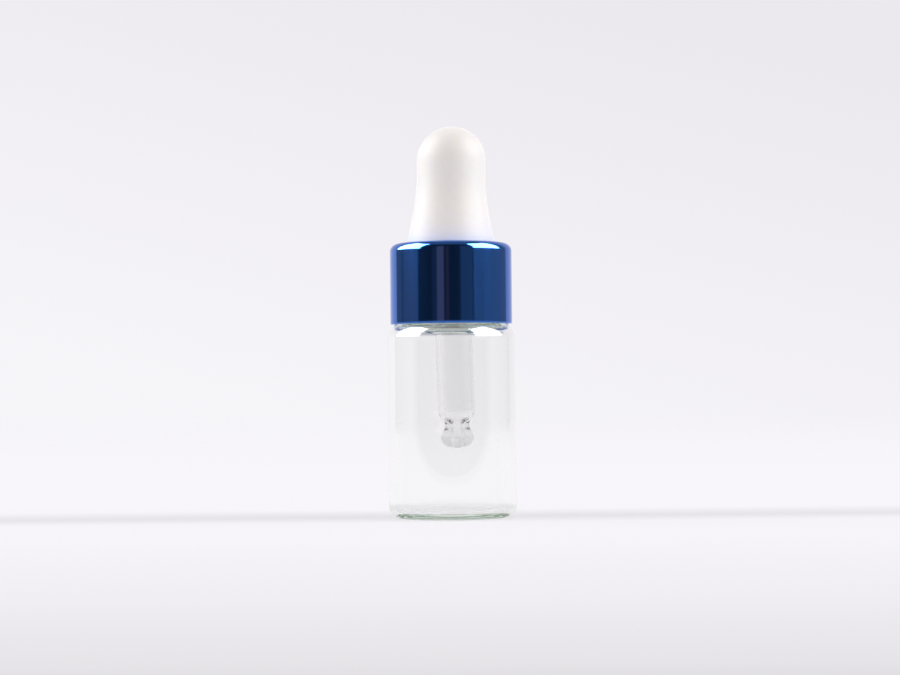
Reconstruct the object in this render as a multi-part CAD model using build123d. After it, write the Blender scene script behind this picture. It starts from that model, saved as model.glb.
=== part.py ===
from build123d import *
import os
from math import cos, radians, sin, sqrt

# Small dropper bottle: a clear glass vial, and a dropper that screws onto its neck.
# The dropper is a rubber bulb and a glass pipette, held by a plastic cap insert in an aluminium shell.
# Millimetres. The origin is the centre of the foot on the table, and +Z is up.

# Glass vial, drawn from 16 mm tubing
vial_diameter = 16.0
vial_wall = 0.9
body_height = 22.4
shoulder_ledge = 0.2
shoulder_glass = 0.9
inner_shoulder_bevel = 0.7
base_thickness = 1.1
heel_radius = 1.45
inner_heel_bevel = 0.6
foot_ring_width = 1.25
punt_depth = 0.3
punt_slope_width = 2.0

# Neck of the vial, plain where the thread runs
neck_diameter = 11.4
neck_height = 7.3
mouth_diameter = 7.9
mouth_flare_bevel = 0.6
lip_bevel = 0.35

# Cap insert, moulded in plastic
thread_depth = 0.75
thread_clearance = 0.2
insert_wall = 0.45
deck_thickness = 1.17
skirt_inset = 0.5
lead_in_chamfer = 0.3
grip_rib_count = 24
grip_rib_depth = 0.15
grip_rib_width = 0.4

# Shell, drawn from aluminium sheet over the insert
shell_sheet = 0.4
shell_crown_radius = 1.0
shell_press_clearance = 0.02
shoulder_gap = 0.3

# Rubber bulb
bulb_diameter = 8.64
bulb_wall = 0.9
bulb_grip_height = 2.5
flare_height = 7.95
flare_reach = 2.6
flare_lean = 8.5
flange_thickness = 1.0
flange_width = 1.0
flange_clearance = 0.15
seat_thickness = 1.2
bulb_hole_clearance = 0.08

# Glass pipette, which leans a little in its soft seat
pipette_diameter = 4.6
pipette_wall = 0.55
pipette_lean = 1.6
socket_clearance = 0.02
collar_width = 1.3
collar_thickness = 1.0
collar_edge_bevel = 0.25
tip_clearance = 7.65
bead_diameter = 4.1
bead_height = 1.2
waist_diameter = 3.0
waist_height = 2.85
taper_height = 4.45
orifice_diameter = 1.1
bead_flat_width = 0.35

# Flats that stand for a quarter round on the glass and the shell
corner_flats = 3

# Radii that follow from the sizes above
vial_radius = vial_diameter / 2
vial_inner_radius = vial_radius - vial_wall
neck_radius = neck_diameter / 2
shoulder_radius = vial_radius - neck_radius - shoulder_ledge
mouth_radius = mouth_diameter / 2
thread_radius = neck_radius + thread_depth
insert_bore_radius = thread_radius + thread_clearance
insert_radius = insert_bore_radius + insert_wall
rib_radius = insert_radius + grip_rib_depth
shell_inner_radius = rib_radius + shell_press_clearance
shell_radius = shell_inner_radius + shell_sheet
inner_crown_bevel = (shell_crown_radius - shell_sheet) * (2 - sqrt(2))
flange_radius = insert_bore_radius - flange_clearance
bulb_base_radius = flange_radius - flange_width
bulb_radius = bulb_diameter / 2
cavity_radius = bulb_radius - bulb_wall
pipette_radius = pipette_diameter / 2
pipette_bore_radius = pipette_radius - pipette_wall
collar_radius = pipette_radius + collar_width

# Heights of the seats, from the foot up
shoulder_z = body_height + shoulder_radius
lip_z = shoulder_z + neck_height
deck_z = lip_z + flange_thickness
deck_top_z = deck_z + deck_thickness
shell_top_z = deck_top_z + shell_sheet
shell_foot_z = shoulder_z - shoulder_gap
skirt_foot_z = shell_foot_z + skirt_inset
seat_z = lip_z + seat_thickness
flare_top_z = shell_top_z + flare_height
dome_z = flare_top_z + bulb_grip_height
bulb_top_z = dome_z + bulb_radius
tip_z = base_thickness + tip_clearance


def turned(profile):
    """A closed profile in the XZ plane, turned once about the bottle's axis."""
    return revolve(Plane.XZ * make_face(profile), Axis.Z)


def corner(centre_x, centre_z, radius, start):
    """Points of a quarter round, anticlockwise from the start angle."""
    angles = [radians(start + 90 * step / corner_flats) for step in range(corner_flats + 1)]
    return [(centre_x + radius * cos(angle), centre_z + radius * sin(angle)) for angle in angles]


def leaning(piece):
    """The piece tipped with the pipette, about the middle of the pipette's seat."""
    return Pos(0, 0, seat_z) * Rot(0, -pipette_lean, 0) * Pos(0, 0, -seat_z) * piece


def glass_vial():
    """Tube with a rounded heel and shoulder, a dished foot, a plain neck and a bevelled lip."""
    outside = Polyline(
        (0, 0),
        *corner(vial_radius - heel_radius, heel_radius, heel_radius, -90),
        *corner(neck_radius + shoulder_ledge, body_height, shoulder_radius, 0),
        (neck_radius, shoulder_z),
        (neck_radius, lip_z - lip_bevel),
        (neck_radius - lip_bevel, lip_z),
        (0, lip_z),
        close=True,
    )
    inner_shoulder_z = shoulder_z - shoulder_glass
    above_lip_z = lip_z + lip_bevel
    hollow = Polyline(
        (0, base_thickness),
        (vial_inner_radius - inner_heel_bevel, base_thickness),
        (vial_inner_radius, base_thickness + inner_heel_bevel),
        (vial_inner_radius, inner_shoulder_z - inner_shoulder_bevel),
        (vial_inner_radius - inner_shoulder_bevel, inner_shoulder_z),
        (mouth_radius + mouth_flare_bevel, inner_shoulder_z),
        (mouth_radius, inner_shoulder_z + mouth_flare_bevel),
        (mouth_radius, lip_z - lip_bevel),
        (mouth_radius + 2 * lip_bevel, above_lip_z),
        (0, above_lip_z),
        close=True,
    )
    punt_radius = vial_radius - heel_radius - foot_ring_width
    upward = (Align.CENTER, Align.CENTER, Align.MIN)
    punt = Cone(punt_radius, punt_radius - punt_slope_width, punt_depth, align=upward)
    return turned(outside) - turned(hollow) - punt


def inner_cap():
    """Insert with a deck over the bulb's flange, a bore for the neck and ribs that grip the shell."""
    hole_radius = bulb_base_radius + bulb_hole_clearance
    section = Polyline(
        (insert_bore_radius + lead_in_chamfer, skirt_foot_z),
        (insert_radius, skirt_foot_z),
        (insert_radius, deck_top_z - inner_crown_bevel),
        (insert_radius - inner_crown_bevel, deck_top_z),
        (hole_radius, deck_top_z),
        (hole_radius, deck_z),
        (insert_bore_radius, deck_z),
        (insert_bore_radius, skirt_foot_z + lead_in_chamfer),
        close=True,
    )
    rib_root = insert_wall / 2
    rib_height = deck_top_z - shell_crown_radius - skirt_foot_z
    rib = Pos(0, 0, skirt_foot_z) * Box(
        rib_root + grip_rib_depth, grip_rib_width, rib_height, align=(Align.MAX, Align.CENTER, Align.MIN)
    )
    return turned(section) + PolarLocations(rib_radius, grip_rib_count) * rib


def cap_shell():
    """Drawn shell with a rounded crown and a hole that the bulb stands in."""
    hole_radius = bulb_base_radius + bulb_hole_clearance
    section = Polyline(
        (shell_inner_radius, shell_foot_z),
        (shell_radius, shell_foot_z),
        *corner(shell_radius - shell_crown_radius, shell_top_z - shell_crown_radius, shell_crown_radius, 0),
        (hole_radius, shell_top_z),
        (hole_radius, deck_top_z),
        (shell_inner_radius - inner_crown_bevel, deck_top_z),
        (shell_inner_radius, deck_top_z - inner_crown_bevel),
        close=True,
    )
    return turned(section)


def rubber_bulb():
    """Hollow bulb: a domed top, a flared base and a flange clamped between the deck and the lip."""
    base = Vector(bulb_base_radius, shell_top_z)
    base_reach = base + Vector(-sin(radians(flare_lean)), cos(radians(flare_lean))) * flare_reach
    flange = Polyline((0, lip_z), (flange_radius, lip_z), (flange_radius, deck_z), (bulb_base_radius, deck_z), base)
    flare = Bezier(base, base_reach, (bulb_radius, flare_top_z - flare_reach), (bulb_radius, flare_top_z))
    grip = Line((bulb_radius, flare_top_z), (bulb_radius, dome_z))
    dome = CenterArc((0, dome_z), bulb_radius, 0, 90)
    body = turned(flange + flare + grip + dome + Line((0, bulb_top_z), (0, lip_z)))

    cavity_foot_z = seat_z + collar_thickness / 2
    cavity_bevel = cavity_radius / sqrt(2)
    cavity = Polyline(
        (0, cavity_foot_z),
        (cavity_radius, cavity_foot_z),
        (cavity_radius, dome_z),
        (cavity_bevel, dome_z + cavity_bevel),
        (0, dome_z + cavity_bevel),
        close=True,
    )

    upward = (Align.CENTER, Align.CENTER, Align.MIN)
    socket_radius = pipette_radius + socket_clearance
    socket = Pos(0, 0, lip_z - seat_thickness) * Cylinder(socket_radius, 2 * seat_thickness, align=upward)
    groove_radius = collar_radius + socket_clearance
    groove_height = collar_thickness + socket_clearance
    groove = Pos(0, 0, seat_z) * Cylinder(groove_radius, groove_height, align=upward)
    return body - turned(cavity) - leaning(socket + groove)


def glass_pipette():
    """Tube with a flanged top end, drawn in to a waist above a bead with a small orifice."""
    collar_z = seat_z + collar_thickness
    bead_z = tip_z + bead_height
    waist_z = tip_z + waist_height
    taper_z = tip_z + taper_height
    orifice_radius = orifice_diameter / 2
    waist = (waist_diameter / 2, waist_z)
    bead_foot = (orifice_radius + bead_flat_width, tip_z)
    tube = Polyline(
        (pipette_bore_radius, collar_z),
        (collar_radius - collar_edge_bevel, collar_z),
        (collar_radius, collar_z - collar_edge_bevel),
        (collar_radius, seat_z + collar_edge_bevel),
        (collar_radius - collar_edge_bevel, seat_z),
        (pipette_radius, seat_z),
        (pipette_radius, taper_z),
        waist,
    )
    bead = ThreePointArc(waist, (bead_diameter / 2, bead_z), bead_foot)
    bore = Polyline(
        bead_foot,
        (orifice_radius, tip_z),
        (orifice_radius, waist_z),
        (pipette_bore_radius, taper_z),
        (pipette_bore_radius, collar_z),
    )
    return leaning(turned(tube + bead + bore))


nodes = {
    "glass_vial": glass_vial(),
    "inner_cap": inner_cap(),
    "cap_shell": cap_shell(),
    "rubber_bulb": rubber_bulb(),
    "glass_pipette": glass_pipette(),
}

os.makedirs("parts", exist_ok=True)
for name, solid in nodes.items():
    export_step(solid, f"parts/{name}.step")
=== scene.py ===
import bpy
import numpy as np
from mathutils import Matrix, Vector


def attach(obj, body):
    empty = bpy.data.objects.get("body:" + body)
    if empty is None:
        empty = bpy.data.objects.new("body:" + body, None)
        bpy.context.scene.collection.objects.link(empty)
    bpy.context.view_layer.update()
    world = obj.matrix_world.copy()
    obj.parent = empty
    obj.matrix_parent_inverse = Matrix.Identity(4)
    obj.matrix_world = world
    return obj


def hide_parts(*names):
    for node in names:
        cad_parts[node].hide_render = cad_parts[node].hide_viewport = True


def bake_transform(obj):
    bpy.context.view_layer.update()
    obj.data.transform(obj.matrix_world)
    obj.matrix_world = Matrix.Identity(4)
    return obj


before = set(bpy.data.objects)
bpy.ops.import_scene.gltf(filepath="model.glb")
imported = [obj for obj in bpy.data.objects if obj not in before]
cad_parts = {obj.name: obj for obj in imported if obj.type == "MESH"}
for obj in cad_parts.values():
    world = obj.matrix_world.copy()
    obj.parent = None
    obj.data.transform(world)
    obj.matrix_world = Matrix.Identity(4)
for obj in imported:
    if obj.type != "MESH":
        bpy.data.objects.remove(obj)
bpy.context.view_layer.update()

# Glass vial
# A length of clear glass tubing, closed at the foot, with a screw finish pressed into its neck.
# It stands on the ring around a shallow hollow, and the dropper's closure screws onto it.
vial_radius = 8.0
vial_inner_radius = 7.1
foot_ring_radius = 5.3
punt_depth = 0.3
floor_middle = 1.25
floor_edge = 0.95
heel_radius = 1.45
inner_heel_radius = 0.7
body_height = 22.4
shoulder_radius = 2.1
neck_radius = 5.7
mouth_radius = 3.95
lip_z = 31.8
thread_pitch = 2.1
thread_foot_z = 26.4
neck_thread_turns = 2.0
neck_thread_depth = 0.7
thread_line_step = 0.1


def arc(centre_x, centre_z, radius, start, end, count):
    """Points of a circle's arc in a half section: centre plus radius times cosine and sine, start to end in degrees."""
    angle = np.radians(np.linspace(start, end, count))
    return np.stack([centre_x + radius * np.cos(angle), centre_z + radius * np.sin(angle)], axis=1)


def dome_line(edge, rise, start_z, count):
    """Points from the axis out to edge: a parabola that stands rise above start_z at the axis and meets it at edge."""
    x = np.linspace(0.0, edge, count)
    return np.stack([x, start_z + rise * (1 - (x / edge) ** 2)], axis=1)


def outline(*parts, step=0.3):
    """One half section from its parts: each straight stretch longer than step is cut into equal lengths below it."""
    corners = np.vstack([np.atleast_2d(part) for part in parts]).astype(float)
    corners = corners[np.r_[True, np.linalg.norm(np.diff(corners, axis=0), axis=1) > 1e-6]]
    lengths = np.linalg.norm(np.diff(corners, axis=0), axis=1)
    cuts = np.ceil(lengths / step).astype(int)
    at = np.concatenate([np.arange(cut) / cut + index for index, cut in enumerate(cuts)] + [[len(cuts)]])
    place = np.arange(len(corners))
    return np.stack([np.interp(at, place, corners[:, 0]), np.interp(at, place, corners[:, 1])], axis=1)


def turned_surface(name, section, sides, relief=None, lean=0.0, lean_z=33.0):
    """A half section carried round the axis: x = r cos t, y = r sin t, z = z, where relief(t, r, z) adds to r.

    A section that starts and ends on the axis gets a point at each pole, and any other is a closed loop.
    A lean in degrees turns the result about the Y line through lean_z, so that the lower end goes towards +X.
    Millimetres in, metres out.
    """
    on_axis = section[0, 0] < 1e-6 and section[-1, 0] < 1e-6
    rings = section[1:-1] if on_axis else section
    turn = np.linspace(0.0, 2 * np.pi, sides, endpoint=False)[None, :]
    radius = np.repeat(rings[:, :1], sides, axis=1)
    height = np.repeat(rings[:, 1:], sides, axis=1)
    if relief is not None:
        radius = radius + relief(turn, radius, height)
    points = np.stack([radius * np.cos(turn), radius * np.sin(turn), height], axis=2).reshape(-1, 3)
    count = len(rings)
    row = np.arange(count - 1 if on_axis else count)[:, None]
    side = np.arange(sides)[None, :]
    after_row = (row + 1) % count
    after_side = (side + 1) % sides
    quads = np.stack([row * sides + side, row * sides + after_side, after_row * sides + after_side,
                      after_row * sides + side], axis=2).reshape(-1, 4)
    faces = quads.tolist()
    if on_axis:
        poles = np.array([[0.0, 0.0, section[0, 1]], [0.0, 0.0, section[-1, 1]]])
        first, last = len(points), len(points) + 1
        points = np.vstack([points, poles])
        ring = np.arange(sides)
        after = (ring + 1) % sides
        faces += np.stack([np.full(sides, first), after, ring], axis=1).tolist()
        end = (count - 1) * sides
        faces += np.stack([np.full(sides, last), end + ring, end + after], axis=1).tolist()
    angle = np.radians(lean)
    x, z = points[:, 0].copy(), points[:, 2] - lean_z
    points[:, 0] = x * np.cos(angle) - z * np.sin(angle)
    points[:, 2] = x * np.sin(angle) + z * np.cos(angle) + lean_z
    mesh = bpy.data.meshes.new(name)
    mesh.from_pydata(points * 0.001, [], faces)
    mesh.polygons.foreach_set("use_smooth", np.ones(len(mesh.polygons), dtype=bool))
    mesh.update()
    piece = bpy.data.objects.new(name, mesh)
    bpy.context.scene.collection.objects.link(piece)
    return piece


def thread(turn, height, start_z, turns, pitch, advance):
    """A screw ridge from 0 to 1: a raised cosine of the distance to the helix z = start_z + pitch times the turn."""
    climb = (height - start_z) / pitch - turn / (2 * np.pi) - advance
    ridge = np.clip(1.6 * np.cos(2 * np.pi * climb) - 0.25, 0.0, 1.0)
    ridge = ridge * ridge * (3 - 2 * ridge)
    along = (height - start_z) / pitch
    fade = np.clip(along / 0.25, 0.0, 1.0) * np.clip((turns - along) / 0.25, 0.0, 1.0)
    return ridge * fade


def neck_thread(turn, radius, height):
    """The glass thread stands out of the neck, and nothing else of the vial is changed."""
    on_neck = (np.abs(radius - neck_radius) < 0.01) & (height > thread_foot_z - 0.4)
    ridge = neck_thread_depth * thread(turn, height, thread_foot_z, neck_thread_turns, thread_pitch, 0.0)
    return np.where(on_neck, ridge, 0.0)


vial_section = outline(
    dome_line(foot_ring_radius, punt_depth, 0.0, 24),
    (vial_radius - heel_radius, 0.0),
    arc(vial_radius - heel_radius, heel_radius, heel_radius, -90, 0, 18),
    arc(vial_radius - shoulder_radius, body_height, shoulder_radius, 0, 86, 20),
    arc(neck_radius + 0.3, body_height + shoulder_radius + 0.27, 0.3, 260, 180, 5),
    outline((neck_radius, 25.4), (neck_radius, 31.2), step=thread_line_step),
    arc(neck_radius - 0.5, lip_z - 0.5, 0.5, 0, 90, 8),
    arc(mouth_radius + 0.5, lip_z - 0.5, 0.5, 90, 180, 8),
    arc(mouth_radius + 0.8, 24.4, 0.8, 180, 270, 8),
    arc(vial_inner_radius - 1.2, body_height, 1.2, 90, 0, 14),
    arc(vial_inner_radius - inner_heel_radius, floor_edge + inner_heel_radius, inner_heel_radius, 0, -90, 12),
    dome_line(vial_inner_radius - inner_heel_radius, floor_middle - floor_edge, floor_edge, 24)[::-1],
)
glass_vial = turned_surface("glass_vial_drawn", vial_section, 256, neck_thread)


def new_material(name):
    """A material with a Principled shader, and its tree, shader and a function that links two sockets."""
    material = bpy.data.materials.new(name)
    material.use_nodes = True
    tree = material.node_tree
    return material, tree, tree.nodes["Principled BSDF"]


def set_sockets(shader, **values):
    """Sets plain values on a shader's sockets, named with underscores for spaces."""
    for name, value in values.items():
        shader.inputs[name.replace("_", " ")].default_value = value


# Drawn lines: what tube drawing and deep drawing leave on a surface, fine lines that run one way.
# Inputs give how fine they are along and across Z. The output runs from 0 to 1 and feeds roughness and bumps.
drawn_lines = bpy.data.node_groups.new("drawn_lines", "ShaderNodeTree")
drawn_lines.interface.new_socket("Across", in_out="INPUT", socket_type="NodeSocketFloat")
drawn_lines.interface.new_socket("Along", in_out="INPUT", socket_type="NodeSocketFloat")
drawn_lines.interface.new_socket("Detail", in_out="INPUT", socket_type="NodeSocketFloat")
drawn_lines.interface.new_socket("Lines", in_out="OUTPUT", socket_type="NodeSocketFloat")
lines_in = drawn_lines.nodes.new("NodeGroupInput")
lines_out = drawn_lines.nodes.new("NodeGroupOutput")
lines_place = drawn_lines.nodes.new("ShaderNodeTexCoord")
lines_stretch = drawn_lines.nodes.new("ShaderNodeCombineXYZ")
lines_scaled = drawn_lines.nodes.new("ShaderNodeVectorMath")
lines_scaled.operation = "MULTIPLY"
lines_noise = drawn_lines.nodes.new("ShaderNodeTexNoise")
lines_noise.inputs["Scale"].default_value = 1.0
drawn_lines.links.new(lines_in.outputs["Across"], lines_stretch.inputs["X"])
drawn_lines.links.new(lines_in.outputs["Across"], lines_stretch.inputs["Y"])
drawn_lines.links.new(lines_in.outputs["Along"], lines_stretch.inputs["Z"])
drawn_lines.links.new(lines_place.outputs["Object"], lines_scaled.inputs[0])
drawn_lines.links.new(lines_stretch.outputs["Vector"], lines_scaled.inputs[1])
drawn_lines.links.new(lines_scaled.outputs["Vector"], lines_noise.inputs["Vector"])
drawn_lines.links.new(lines_in.outputs["Detail"], lines_noise.inputs["Detail"])
drawn_lines.links.new(lines_noise.outputs["Fac"], lines_out.inputs["Lines"])


def add_lines(tree, across, along, detail):
    """Places the drawn lines in a material and returns their output."""
    node = tree.nodes.new("ShaderNodeGroup")
    node.node_tree = drawn_lines
    node.inputs["Across"].default_value = across
    node.inputs["Along"].default_value = along
    node.inputs["Detail"].default_value = detail
    return node.outputs["Lines"]


def add_bump(tree, shader, height, strength, distance):
    """Bumps a shader's normal with a height from 0 to 1 that stands for distance in metres."""
    bump = tree.nodes.new("ShaderNodeBump")
    bump.inputs["Strength"].default_value = strength
    bump.inputs["Distance"].default_value = distance
    tree.links.new(height, bump.inputs["Height"])
    tree.links.new(bump.outputs["Normal"], shader.inputs["Normal"])


def add_range(tree, value, low, high):
    """Turns a value from 0 to 1 into one from low to high."""
    node = tree.nodes.new("ShaderNodeMapRange")
    node.inputs["To Min"].default_value = low
    node.inputs["To Max"].default_value = high
    tree.links.new(value, node.inputs["Value"])
    return node.outputs["Result"]


def clear_glass(name, across, along, distance, tint_colour, tint_density):
    """Clear glass with the slow ripple of drawn tube, whose tint shows where light runs a long way inside the wall."""
    material, tree, shader = new_material(name)
    set_sockets(shader, Base_Color=(1.0, 1.0, 1.0, 1.0), Roughness=0.0, IOR=1.5, Transmission_Weight=1.0)
    ripple = add_lines(tree, across, along, 1.0)
    add_bump(tree, shader, ripple, 0.5, distance)
    tint = tree.nodes.new("ShaderNodeVolumeAbsorption")
    tint.inputs["Color"].default_value = tint_colour
    tint.inputs["Density"].default_value = tint_density
    tree.links.new(tint.outputs["Volume"], tree.nodes["Material Output"].inputs["Volume"])
    return material


vial_tint = (0.80, 0.92, 0.76, 1.0)
glass_vial.data.materials.append(clear_glass("vial_glass", 120.0, 30.0, 0.000001, vial_tint, 38.0))
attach(glass_vial, "vial")
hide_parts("glass_vial")

# Glass pipette
# A thin glass tube, flanged at the top, drawn in to a waist over a flame and thickened to a bead around its orifice.
# Its flange sits in a groove inside the bulb, and the soft seat lets it lean a little.
pipette_lean = 1.6
seat_z = 33.0
tip_z = 8.75


def smooth_line(start, end, count):
    """Points from start to end that leave and arrive along Z: radius follows 3u^2 - 2u^3 as height runs evenly."""
    u = np.linspace(0.0, 1.0, count)
    blend = u * u * (3 - 2 * u)
    return np.stack([start[0] + (end[0] - start[0]) * blend, start[1] + (end[1] - start[1]) * u], axis=1)


pipette_section = outline(
    arc(3.2, seat_z + 0.6, 0.4, 90, 0, 6),
    arc(3.2, seat_z + 0.4, 0.4, 0, -90, 6),
    (2.3, seat_z),
    (2.3, tip_z + 4.45),
    smooth_line((2.3, tip_z + 4.45), (1.5, tip_z + 2.85), 16),
    smooth_line((1.5, tip_z + 2.85), (2.05, tip_z + 1.2), 16),
    arc(0.9, tip_z + 1.2, 1.15, 0, -90, 14),
    arc(0.75, tip_z + 0.2, 0.2, 270, 180, 5),
    (0.55, tip_z + 2.85),
    smooth_line((0.55, tip_z + 2.85), (1.75, tip_z + 4.45), 14),
    (1.75, seat_z + 1.0),
    step=0.25,
)
pipette_section = np.vstack([pipette_section, outline((1.75, seat_z + 1.0), (3.2, seat_z + 1.0))[1:-1]])
glass_pipette = turned_surface("glass_pipette_drawn", pipette_section[::-1], 160, None, pipette_lean, seat_z)
pipette_tint = (0.50, 0.52, 0.49, 1.0)
glass_pipette.data.materials.append(clear_glass("pipette_glass", 300.0, 60.0, 0.000002, pipette_tint, 95.0))
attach(glass_pipette, "dropper")
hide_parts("glass_pipette")

# Cap insert
# A moulded plastic screw cap that the metal shell hides: its deck holds the bulb's flange down on the vial's lip.
# It is off-white, has the female thread inside, and its small ribs grip the metal shell pressed over it.
insert_bore_radius = 6.65
insert_radius = 7.1
skirt_foot_z = 24.7
deck_z = 32.8
deck_top_z = 33.97
hole_radius = 5.58
grip_rib_count = 24
grip_rib_depth = 0.15
cap_thread_foot_z = 25.3
cap_thread_turns = 2.6
cap_thread_depth = 0.6


def insert_relief(turn, radius, height):
    """Outside, the grip ribs stand out below the crown; inside, the thread stands into the bore, between the neck's."""
    rib = np.clip((np.cos(grip_rib_count * turn) - 0.72) / 0.12, 0.0, 1.0) * grip_rib_depth
    outside = (radius > insert_radius - 0.01) & (height < deck_top_z - 1.05)
    inside = np.abs(radius - insert_bore_radius) < 0.01
    advance = (thread_foot_z - cap_thread_foot_z) / thread_pitch + 0.5
    ridge = cap_thread_depth * thread(turn, height, cap_thread_foot_z, cap_thread_turns, thread_pitch, advance)
    return np.where(outside, rib, 0.0) - np.where(inside & (height < deck_z - 0.3), ridge, 0.0)


insert_section = outline(
    (insert_bore_radius + 0.25, skirt_foot_z),
    (insert_radius, skirt_foot_z),
    (insert_radius, deck_top_z - 0.6),
    arc(insert_radius - 0.6, deck_top_z - 0.6, 0.6, 0, 90, 8),
    (hole_radius, deck_top_z),
    (hole_radius, deck_z),
    (insert_bore_radius, deck_z),
    outline((insert_bore_radius, deck_z - 0.1), (insert_bore_radius, skirt_foot_z + 0.25), step=thread_line_step),
    step=0.3,
)
cap_insert = turned_surface("cap_insert_moulded", insert_section, 384, insert_relief)

# Fine grain: the small unevenness of a moulded surface, the same in every direction.
# Its output runs from 0 to 1, and feeds bumps, roughness and slight changes of colour.
fine_grain = bpy.data.node_groups.new("fine_grain", "ShaderNodeTree")
fine_grain.interface.new_socket("Size", in_out="INPUT", socket_type="NodeSocketFloat")
fine_grain.interface.new_socket("Detail", in_out="INPUT", socket_type="NodeSocketFloat")
fine_grain.interface.new_socket("Grain", in_out="OUTPUT", socket_type="NodeSocketFloat")
grain_in = fine_grain.nodes.new("NodeGroupInput")
grain_out = fine_grain.nodes.new("NodeGroupOutput")
grain_place = fine_grain.nodes.new("ShaderNodeTexCoord")
grain_noise = fine_grain.nodes.new("ShaderNodeTexNoise")
fine_grain.links.new(grain_place.outputs["Object"], grain_noise.inputs["Vector"])
fine_grain.links.new(grain_in.outputs["Size"], grain_noise.inputs["Scale"])
fine_grain.links.new(grain_in.outputs["Detail"], grain_noise.inputs["Detail"])
fine_grain.links.new(grain_noise.outputs["Fac"], grain_out.inputs["Grain"])


def add_grain(tree, size, detail):
    """Places the fine grain in a material and returns its output."""
    node = tree.nodes.new("ShaderNodeGroup")
    node.node_tree = fine_grain
    node.inputs["Size"].default_value = size
    node.inputs["Detail"].default_value = detail
    return node.outputs["Grain"]


def add_colours(tree, shader, value, low, high):
    """Colours a shader between two colours by a value from 0 to 1."""
    node = tree.nodes.new("ShaderNodeMix")
    node.data_type = "RGBA"
    node.inputs["A"].default_value = low
    node.inputs["B"].default_value = high
    tree.links.new(value, node.inputs["Factor"])
    tree.links.new(node.outputs["Result"], shader.inputs["Base Color"])


cap_plastic, plastic_tree, plastic_shader = new_material("cap_plastic_moulded")
# Painted light: a faint cool glow in the plastic brightens the shaded insert under the metal shell
set_sockets(plastic_shader, IOR=1.49, Subsurface_Weight=0.3, Subsurface_Scale=0.001, Emission_Strength=0.25)
plastic_shader.inputs["Emission Color"].default_value = (0.85, 0.95, 1.0, 1.0)
plastic_grain = add_grain(plastic_tree, 900.0, 3.0)
add_colours(plastic_tree, plastic_shader, plastic_grain, (0.84, 0.84, 0.81, 1.0), (0.88, 0.88, 0.86, 1.0))
plastic_tree.links.new(add_range(plastic_tree, plastic_grain, 0.32, 0.42), plastic_shader.inputs["Roughness"])
add_bump(plastic_tree, plastic_shader, plastic_grain, 0.3, 0.00001)
cap_insert.data.materials.append(cap_plastic)
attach(cap_insert, "closure")
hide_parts("inner_cap")

# Metal shell
# Aluminium sheet deep-drawn to a cup, pierced for the bulb, brightened, anodised and dyed blue.
# It is pressed over the insert, and its clear oxide coat keeps white highlights over the blue.
shell_inner_radius = 7.27
shell_radius = 7.67
shell_foot_z = 24.2
shell_top_z = 34.37
shell_section = outline(
    arc(shell_inner_radius + 0.12, shell_foot_z + 0.12, 0.12, 180, 270, 5),
    arc(shell_radius - 0.2, shell_foot_z + 0.2, 0.2, -90, 0, 8),
    arc(shell_radius - 1.0, shell_top_z - 1.0, 1.0, 0, 90, 22),
    arc(hole_radius + 0.16, shell_top_z - 0.16, 0.16, 90, 180, 6),
    arc(hole_radius + 0.1, deck_top_z + 0.1, 0.1, 180, 270, 4),
    arc(shell_inner_radius - 0.6, deck_top_z - 0.6, 0.6, 90, 0, 8),
    (shell_inner_radius, shell_foot_z + 0.42),
)
cap_shell = turned_surface("cap_shell_drawn", shell_section, 256)
blue_metal, metal_tree, metal_shader = new_material("blue_anodised_metal")
set_sockets(metal_shader, Metallic=1.0, Coat_Weight=0.8, Coat_IOR=1.45, Coat_Roughness=0.04)
set_sockets(metal_shader, Specular_Tint=(0.55, 0.65, 1.0, 1.0))
streaks = add_lines(metal_tree, 700.0, 25.0, 3.0)
add_colours(metal_tree, metal_shader, streaks, (0.014, 0.115, 0.44, 1.0), (0.022, 0.140, 0.52, 1.0))
metal_tree.links.new(add_range(metal_tree, streaks, 0.06, 0.14), metal_shader.inputs["Roughness"])
add_bump(metal_tree, metal_shader, streaks, 0.2, 0.000004)
cap_shell.data.materials.append(blue_metal)
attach(cap_shell, "closure")
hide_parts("cap_shell")

# Rubber bulb
# A hollow bulb moulded in white rubber: domed top, flared base, and a flange that seals on the vial's lip.
# The insert's deck holds the flange down, and the pipette's flange fills the groove inside. It leans a little.
bulb_radius = 4.32
bulb_base_radius = 5.5
flange_radius = 6.5
cavity_radius = 3.42
dome_z = 44.82
flare_top_z = 42.32
socket_radius = 2.32
groove_radius = 3.62
bulb_lean_slope = 0.017


def bezier(points, count):
    """A cubic curve: its four points weighted by (1-u)^3, 3u(1-u)^2, 3u^2(1-u) and u^3."""
    u = np.linspace(0.0, 1.0, count)[:, None]
    first, second, third, fourth = np.array(points, float)
    return (1 - u) ** 3 * first + 3 * u * (1 - u) ** 2 * second + 3 * u**2 * (1 - u) * third + u**3 * fourth


flare_reach = 2.6
flare_lean = np.radians(8.5)
flare_line = bezier(
    [
        (bulb_base_radius, shell_top_z),
        (bulb_base_radius - flare_reach * np.sin(flare_lean), shell_top_z + flare_reach * np.cos(flare_lean)),
        (bulb_radius, flare_top_z - flare_reach),
        (bulb_radius, flare_top_z),
    ],
    30,
)
bulb_section = outline(
    arc(0.0, dome_z, cavity_radius, 90, 0, 24),
    (cavity_radius, seat_z + 1.2),
    (groove_radius, seat_z + 1.02),
    (groove_radius, seat_z),
    (socket_radius, seat_z),
    (socket_radius, lip_z),
    arc(flange_radius - 0.2, lip_z + 0.2, 0.2, -90, 0, 6),
    arc(flange_radius - 0.2, deck_z - 0.2, 0.2, 0, 90, 6),
    (bulb_base_radius, deck_z),
    flare_line,
    arc(0.0, dome_z, bulb_radius, 0, 90, 36),
)
rubber_bulb = turned_surface("rubber_bulb_moulded", bulb_section, 192)
bulb_points = np.empty(len(rubber_bulb.data.vertices) * 3)
rubber_bulb.data.vertices.foreach_get("co", bulb_points)
bulb_points = bulb_points.reshape(-1, 3)
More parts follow.
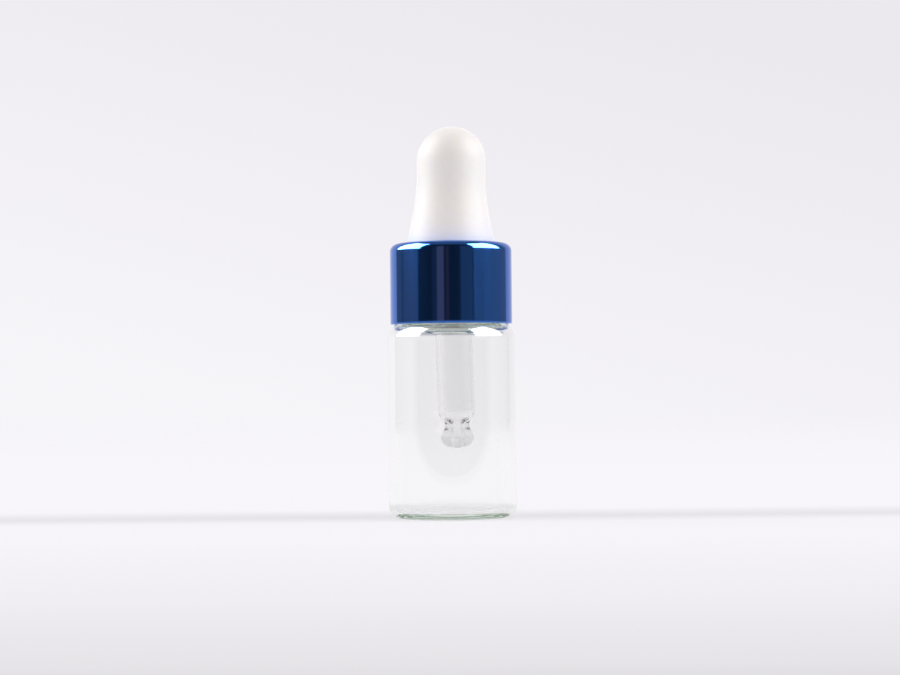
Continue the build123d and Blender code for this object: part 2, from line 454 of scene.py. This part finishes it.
bulb_points[:, 0] += bulb_lean_slope * np.clip(bulb_points[:, 2] - shell_top_z * 0.001, 0.0, None)
rubber_bulb.data.vertices.foreach_set("co", bulb_points.ravel())
rubber_bulb.data.update()
white_rubber, rubber_tree, rubber_shader = new_material("white_rubber_moulded")
set_sockets(rubber_shader, IOR=1.5, Specular_IOR_Level=0.12, Subsurface_Weight=0.6, Subsurface_Scale=0.0015)
set_sockets(rubber_shader, Subsurface_Radius=(1.0, 0.8, 0.65))
rubber_grain = add_grain(rubber_tree, 1400.0, 4.0)
add_colours(rubber_tree, rubber_shader, rubber_grain, (0.86, 0.84, 0.81, 1.0), (0.90, 0.885, 0.86, 1.0))
rubber_tree.links.new(add_range(rubber_tree, rubber_grain, 0.42, 0.52), rubber_shader.inputs["Roughness"])
add_bump(rubber_tree, rubber_shader, rubber_grain, 0.25, 0.00001)
rubber_bulb.data.materials.append(white_rubber)
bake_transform(rubber_bulb)
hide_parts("rubber_bulb")

# Studio
# A pale floor, with painted shade and a painted soft shadow line, below a paler room, and two softboxes above and
# beside the bottle.
# The dark front of the room is glowing cards that only reflections, the bulb's light or the glass take notice of.
floor_radius = 0.9
floor_below_foot = 0.00002
floor_front, floor_back = -0.16, 0.04
fade_start, fade_end = 0.10, 0.85
card_middle_z = 0.029
scene = bpy.context.scene
scene.view_settings.view_transform = "Standard"
scene.cycles.max_bounces = 96
scene.cycles.transmission_bounces = 96
scene.cycles.glossy_bounces = 96


def add_node(tree, kind, **values):
    """Adds a shader node of a kind, with plain values on its sockets."""
    node = tree.nodes.new("ShaderNode" + kind)
    set_sockets(node, **values)
    return node


# The room is palest low down, and darkens upwards and a little to the right
world = bpy.data.worlds.new("pale_room")
scene.world = world
world.use_nodes = True
world_tree = world.node_tree
world_place = add_node(world_tree, "TexCoord")
world_slope = add_node(world_tree, "VectorMath")
world_slope.operation = "DOT_PRODUCT"
world_slope.inputs[1].default_value = (0.26, 0.0, 1.0)
world_range = add_node(world_tree, "MapRange", From_Min=-0.03, From_Max=0.20)
world_mix = world_tree.nodes.new("ShaderNodeMix")
world_mix.data_type = "RGBA"
set_sockets(world_mix, A=(0.918, 0.910, 0.942, 1.0), B=(0.838, 0.812, 0.855, 1.0))
world_tree.links.new(world_place.outputs["Generated"], world_slope.inputs[0])
world_tree.links.new(world_slope.outputs["Value"], world_range.inputs["Value"])
world_tree.links.new(world_range.outputs["Result"], world_mix.inputs["Factor"])
world_tree.links.new(world_mix.outputs["Result"], world_tree.nodes["Background"].inputs["Color"])

# The floor glows, with painted shade that darkens it towards the camera and a painted soft shadow line across it just
# behind the foot, and fades out into the room
floor_turns = np.linspace(0.0, 2 * np.pi, 96, endpoint=False)
floor_rim = floor_radius * np.stack([np.cos(floor_turns), np.sin(floor_turns)], axis=1)
floor_points = np.column_stack([floor_rim, np.full(len(floor_rim), -floor_below_foot)])
floor_mesh = bpy.data.meshes.new("floor")
floor_mesh.from_pydata(floor_points, [], [list(range(len(floor_points)))])
floor = bpy.data.objects.new("floor", floor_mesh)
scene.collection.objects.link(floor)
floor_paper = bpy.data.materials.new("floor_paper")
floor_paper.use_nodes = True
floor_tree = floor_paper.node_tree
floor_tree.nodes.clear()
floor_out = add_node(floor_tree, "OutputMaterial")
floor_place = add_node(floor_tree, "TexCoord")
floor_depth = add_node(floor_tree, "SeparateXYZ")
floor_span = add_node(floor_tree, "MapRange", From_Min=floor_front, From_Max=floor_back)
floor_tone_and_painted_shade = add_node(floor_tree, "ValToRGB")
floor_tone_and_painted_shade.color_ramp.elements[0].color = (0.60, 0.59, 0.62, 1.0)
floor_tone_and_painted_shade.color_ramp.elements[1].color = (0.926, 0.911, 0.947, 1.0)
# Painted shade: the floor's glow darkens towards the camera
front_painted_shade = [(-0.138, 0.755), (-0.100, 0.845), (-0.040, 0.905)]
# Painted shadow: a soft dark line across the floor just behind the bottle's foot
painted_shadow_line = [(-0.009, 0.905), (0.001, 0.765), (0.005, 0.780), (0.018, 0.915)]
for depth, level in front_painted_shade + painted_shadow_line:
    shade = floor_tone_and_painted_shade.color_ramp.elements.new((depth - floor_front) / (floor_back - floor_front))
    shade.color = (level * 1.012, level * 0.995, level * 1.035, 1.0)
floor_glow = add_node(floor_tree, "Emission")
floor_matt = add_node(floor_tree, "BsdfDiffuse", Color=(0.9, 0.9, 0.92, 1.0))
floor_body = add_node(floor_tree, "MixShader", Fac=0.16)
floor_clear = add_node(floor_tree, "BsdfTransparent")
floor_fade = add_node(floor_tree, "MixShader")
floor_distance = add_node(floor_tree, "VectorMath")
floor_distance.operation = "LENGTH"
floor_range = add_node(floor_tree, "MapRange", From_Min=fade_start, From_Max=fade_end)
floor_range.interpolation_type = "SMOOTHSTEP"
floor_tree.links.new(floor_place.outputs["Object"], floor_depth.inputs["Vector"])
floor_tree.links.new(floor_depth.outputs["Y"], floor_span.inputs["Value"])
floor_tree.links.new(floor_span.outputs["Result"], floor_tone_and_painted_shade.inputs["Fac"])
floor_tree.links.new(floor_tone_and_painted_shade.outputs["Color"], floor_glow.inputs["Color"])
floor_tree.links.new(floor_glow.outputs["Emission"], floor_body.inputs[1])
floor_tree.links.new(floor_matt.outputs["BSDF"], floor_body.inputs[2])
floor_tree.links.new(floor_place.outputs["Object"], floor_distance.inputs[0])
floor_tree.links.new(floor_distance.outputs["Value"], floor_range.inputs["Value"])
floor_tree.links.new(floor_range.outputs["Result"], floor_fade.inputs["Fac"])
floor_tree.links.new(floor_body.outputs["Shader"], floor_fade.inputs[1])
floor_tree.links.new(floor_clear.outputs["BSDF"], floor_fade.inputs[2])
floor_tree.links.new(floor_fade.outputs["Shader"], floor_out.inputs["Surface"])
floor_mesh.materials.append(floor_paper)


def glowing(name, points, faces, level, tint):
    """A glowing surface of the studio that the camera, shadows, matt surfaces and glass see nothing of."""
    mesh = bpy.data.meshes.new(name)
    mesh.from_pydata(points, [], faces)
    piece = bpy.data.objects.new(name, mesh)
    scene.collection.objects.link(piece)
    material = bpy.data.materials.new(name)
    material.use_nodes = True
    tree = material.node_tree
    tree.nodes.clear()
    glow = add_node(tree, "Emission", Color=(*tint, 1.0), Strength=level)
    output = add_node(tree, "OutputMaterial")
    tree.links.new(glow.outputs["Emission"], output.inputs["Surface"])
    mesh.materials.append(material)
    piece.visible_camera = False
    piece.visible_transmission = False
    piece.visible_diffuse = False
    piece.visible_shadow = False
    piece.visible_volume_scatter = False
    return piece


def card(name, start, end, low, high, distance, level, tint=(1.0, 1.0, 1.0)):
    """A patch of a ball round the bottle that shows in reflections.

    Its azimuths run from the camera's side, positive to its right, and its elevations from low to high, in degrees.
    """
    columns, rows = 24, 10
    azimuth = np.radians(np.linspace(start, end, columns))
    rise = np.radians(np.linspace(low, high, rows))
    azimuth, rise = np.meshgrid(azimuth, rise)
    away = np.stack([np.sin(azimuth) * np.cos(rise), -np.cos(azimuth) * np.cos(rise), np.sin(rise)], axis=2)
    points = distance * away.reshape(-1, 3) + np.array([0.0, 0.0, card_middle_z])
    corner = np.arange(rows - 1)[:, None] * columns + np.arange(columns - 1)[None, :]
    faces = np.stack([corner, corner + 1, corner + columns + 1, corner + columns], axis=2)
    return glowing(name, points, faces.reshape(-1, 4).tolist(), level, tint)


# The warm front of the room lights the bulb and shows in nothing
front_fill = card("front_fill", -80, 80, -30, 60, 0.64, 0.58, (1.0, 0.91, 0.85))
front_fill.visible_diffuse = True
front_fill.visible_glossy = False

# What the blue shell mirrors: dark walls, and stands and screens that make its upright stripes
card("front_wall", -64, 64, -16, 55, 0.62, 0.055)
card("left_wall", -124, -64, -3, 55, 0.62, 0.27)
card("right_wall", 64, 126, -3, 55, 0.62, 0.34)
card("ceiling", -180, 180, 55, 90, 0.62, 0.35)
card("left_curtain", -90, -68, -30, 30, 0.61, 0.35, (1.0, 0.75, 0.72))
card("left_seam", -106, -101, -30, 30, 0.61, 0.18)
card("left_shade", -36, -26, -30, 30, 0.61, 0.09)
card("left_stand", -26, -13, -30, 30, 0.60, 0.62, (1.0, 0.40, 0.34))
card("left_pole", -9, -4, -30, 30, 0.60, 0.30, (1.0, 0.30, 0.25))
card("right_shade", 18, 40, -30, 30, 0.61, 0.18)
card("right_pole", 40, 44, -30, 30, 0.60, 0.08)
card("right_screen", 44, 64, -30, 30, 0.60, 0.28)
card("left_softbox_face", -120, -60, 9, 58, 0.50, 17.0)
card("right_softbox_face", 44, 104, 9, 58, 0.50, 17.0)

# The dark side of the room in front of the table, which shows through the glass alone
board_half_width, board_y, board_height = 0.6, -0.1, 0.6
board_points = [(-board_half_width, board_y, 0.0), (board_half_width, board_y, 0.0),
                (board_half_width, board_y, board_height), (-board_half_width, board_y, board_height)]
front_board = glowing("front_board", board_points, [[0, 1, 2, 3]], 1.0, (0.34, 0.32, 0.35))
front_board.visible_glossy = False
front_board.visible_transmission = True


bulb_aim_z = 0.04


def softbox(name, azimuth, rise, distance, width, height, power):
    """A soft area light aimed at the bulb, which lights it and is left out of reflections, where its card shows."""
    light = bpy.data.lights.new(name, "AREA")
    light.shape = "RECTANGLE"
    light.size, light.size_y, light.energy = width, height, power
    lamp = bpy.data.objects.new(name, light)
    scene.collection.objects.link(lamp)
    azimuth, rise = np.radians(azimuth), np.radians(rise)
    away = Vector((np.sin(azimuth) * np.cos(rise), -np.cos(azimuth) * np.cos(rise), np.sin(rise)))
    lamp.location = away * distance + Vector((0.0, 0.0, bulb_aim_z))
    lamp.rotation_mode = "QUATERNION"
    lamp.rotation_quaternion = away.to_track_quat("Z", "Y")
    lamp.visible_camera = False
    lamp.visible_glossy = False
    lamp.visible_transmission = False
    return lamp


softbox("left_softbox", -98, 30, 0.5, 0.30, 0.30, 0.92)
softbox("right_softbox", 82, 30, 0.5, 0.30, 0.30, 0.92)

# Camera
# A portrait-length lens about a quarter of a metre away, level with the vial's upper half and tipped up a little.
camera_distance = 0.264
camera_z = 0.0166
camera_data = bpy.data.cameras.new("camera")
camera_data.lens = 84.0
camera_data.sensor_width = 36.0
camera_data.clip_start, camera_data.clip_end = 0.01, 10.0
camera = bpy.data.objects.new("camera", camera_data)
scene.collection.objects.link(camera)
tip_up, roll, aside = np.radians(1.296), np.radians(-0.55), np.radians(0.04)
pitch_camera = Matrix.Rotation(np.pi / 2 + tip_up, 3, "X")
turn_camera = Matrix.Rotation(aside, 3, "Z") @ pitch_camera @ Matrix.Rotation(roll, 3, "Z")
camera.matrix_world = Matrix.Translation((0.0, -camera_distance, camera_z)) @ turn_camera.to_4x4()
scene.camera = camera

bpy.context.view_layer.update()
